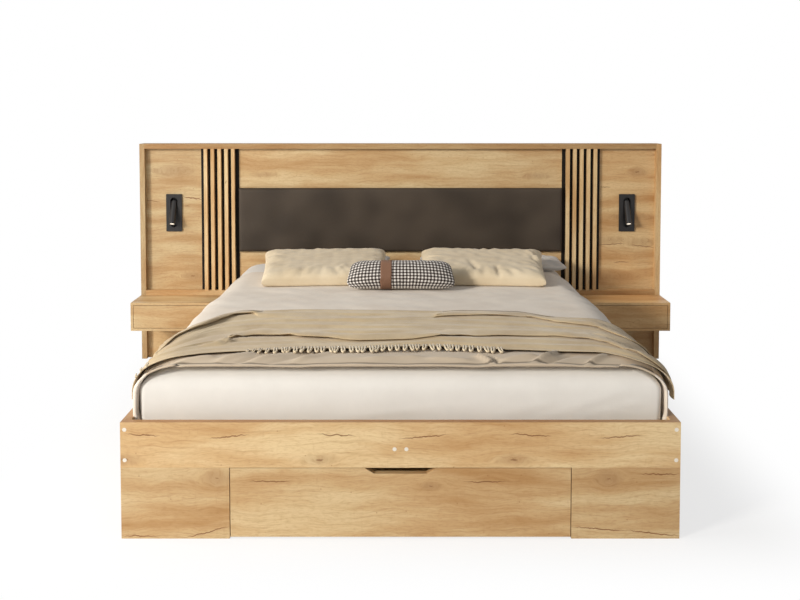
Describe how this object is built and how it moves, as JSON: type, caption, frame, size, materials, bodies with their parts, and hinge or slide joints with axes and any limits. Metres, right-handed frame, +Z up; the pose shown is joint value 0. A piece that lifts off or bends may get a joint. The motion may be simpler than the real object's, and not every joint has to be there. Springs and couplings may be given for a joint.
{
  "type": "bed with attached nightstands",
  "caption": "Double bed with a wide panelled headboard, hanging one-drawer nightstands, folding reading lamps, a rolling foot drawer and its bedding.",
  "frame": {"origin": "on the floor, in the middle of the outline of bed and headboard", "axes": "+X to the right seen from the foot end, along the headboard; +Y from the foot end to the headboard; +Z up"},
  "size_m": [2.624, 2.13, 1.092],
  "materials": {
    "oak": "satin wild-oak laminate",
    "oak_edge": "satin wild-oak laminate, board edges",
    "black_panel": "matt black laminate",
    "softwood": "bare planed softwood",
    "birch": "bare bent birch",
    "pad_cover": "matt dark brown imitation leather",
    "anthracite_metal": "fine-textured anthracite paint",
    "lamp_diffuser": "opal, lit",
    "runner_plastic": "satin",
    "bolt_steel": "zinc plated",
    "cap_plastic": "satin off-white",
    "castor_plastic": "satin",
    "wheel_rubber": "matt",
    "mattress_fabric": "knitted ticking",
    "duvet_cotton": "smooth cotton",
    "throw_wool": "soft woven wool with a looped fringe",
    "pillow_linen": "soft cotton",
    "pillow_white": "smooth cotton",
    "check_fabric": "woven black and white check"
  },
  "bodies": {
    "bed": {"headboard_side_left": "oak_edge", "headboard_side_right": "oak_edge", "headboard_top": "oak_edge", "wing_panel_left": "oak", "wing_panel_right": "oak", "shelf_rail_left": "oak_edge", "shelf_rail_right": "oak_edge", "strip_backing_left": "black_panel", "strip_backing_right": "black_panel", "oak_strips_left": "oak", "oak_strips_right": "oak", "centre_panel": "oak", "pad_board": "softwood", "headboard_pad": "pad_cover", "lower_panel": "oak", "plinth_strip": "oak", "headboard_posts": "softwood", "back_battens": "softwood", "lamp_plate_left": "anthracite_metal", "lamp_plate_right": "anthracite_metal", "nightstand_top_left": "oak", "nightstand_top_right": "oak", "nightstand_case_left": "oak_edge", "nightstand_case_right": "oak_edge", "nightstand_cleats": "softwood", "drawer_runners": "runner_plastic", "footboard": "oak", "foot_legs": "oak", "side_rail_left": "oak_edge", "side_rail_right": "oak_edge", "slat_ledges": "softwood", "centre_beam": "softwood", "centre_legs": "softwood", "head_crossboard": "softwood", "bed_slats": "birch", "frame_bolts": "bolt_steel", "bolt_caps": "cap_plastic", "corner_brackets": "bolt_steel", "mattress": "mattress_fabric", "duvet": "duvet_cotton", "throw": "throw_wool", "pillow_left": "pillow_linen", "pillow_right": "pillow_linen", "rear_pillows": "pillow_white", "check_cushion": "check_fabric"},
    "foot_drawer": {"foot_drawer_front": "oak", "foot_drawer_box": "softwood", "castor_forks": "castor_plastic"},
    "wheel_front_left": {"wheel_front_left": "wheel_rubber"},
    "wheel_front_right": {"wheel_front_right": "wheel_rubber"},
    "wheel_back_left": {"wheel_back_left": "wheel_rubber"},
    "wheel_back_right": {"wheel_back_right": "wheel_rubber"},
    "nightstand_drawer_left": {"drawer_front_left": "oak", "drawer_box_left": "softwood"},
    "nightstand_drawer_right": {"drawer_front_right": "oak", "drawer_box_right": "softwood"},
    "lamp_left": {"lamp_head_left": "anthracite_metal", "lamp_lens_left": "lamp_diffuser"},
    "lamp_right": {"lamp_head_right": "anthracite_metal", "lamp_lens_right": "lamp_diffuser"}
  },
  "joints": [
    {"name": "foot_drawer_slide", "type": "slide", "parent": "bed", "child": "foot_drawer", "axis": [0, -1, 0], "range_m": [0, 0.6]},
    {"name": "wheel_front_left_spin", "type": "hinge", "parent": "foot_drawer", "child": "wheel_front_left", "pos_m": [-0.44, -0.995, 0.015], "axis": [1, 0, 0], "range_deg": [0, 2300]},
    {"name": "wheel_front_right_spin", "type": "hinge", "parent": "foot_drawer", "child": "wheel_front_right", "pos_m": [0.44, -0.995, 0.015], "axis": [1, 0, 0], "range_deg": [0, 2300]},
    {"name": "wheel_back_left_spin", "type": "hinge", "parent": "foot_drawer", "child": "wheel_back_left", "pos_m": [-0.44, -0.385, 0.015], "axis": [1, 0, 0], "range_deg": [0, 2300]},
    {"name": "wheel_back_right_spin", "type": "hinge", "parent": "foot_drawer", "child": "wheel_back_right", "pos_m": [0.44, -0.385, 0.015], "axis": [1, 0, 0], "range_deg": [0, 2300]},
    {"name": "nightstand_drawer_left_slide", "type": "slide", "parent": "bed", "child": "nightstand_drawer_left", "axis": [0, -1, 0], "range_m": [0, 0.14]},
    {"name": "nightstand_drawer_right_slide", "type": "slide", "parent": "bed", "child": "nightstand_drawer_right", "axis": [0, -1, 0], "range_m": [0, 0.14]},
    {"name": "lamp_left_fold", "type": "hinge", "parent": "bed", "child": "lamp_left", "pos_m": [-1.146, 0.99, 0.786], "axis": [-1, 0, 0], "range_deg": [-28, 62]},
    {"name": "lamp_right_fold", "type": "hinge", "parent": "bed", "child": "lamp_right", "pos_m": [1.146, 0.99, 0.786], "axis": [-1, 0, 0], "range_deg": [-28, 62]}
  ],
  "couplings": [
    {"joint": "wheel_front_left_spin", "follows": "foot_drawer_slide", "rad_per_m": 66.667},
    {"joint": "wheel_front_right_spin", "follows": "foot_drawer_slide", "rad_per_m": 66.667},
    {"joint": "wheel_back_left_spin", "follows": "foot_drawer_slide", "rad_per_m": 66.667},
    {"joint": "wheel_back_right_spin", "follows": "foot_drawer_slide", "rad_per_m": 66.667}
  ]
}
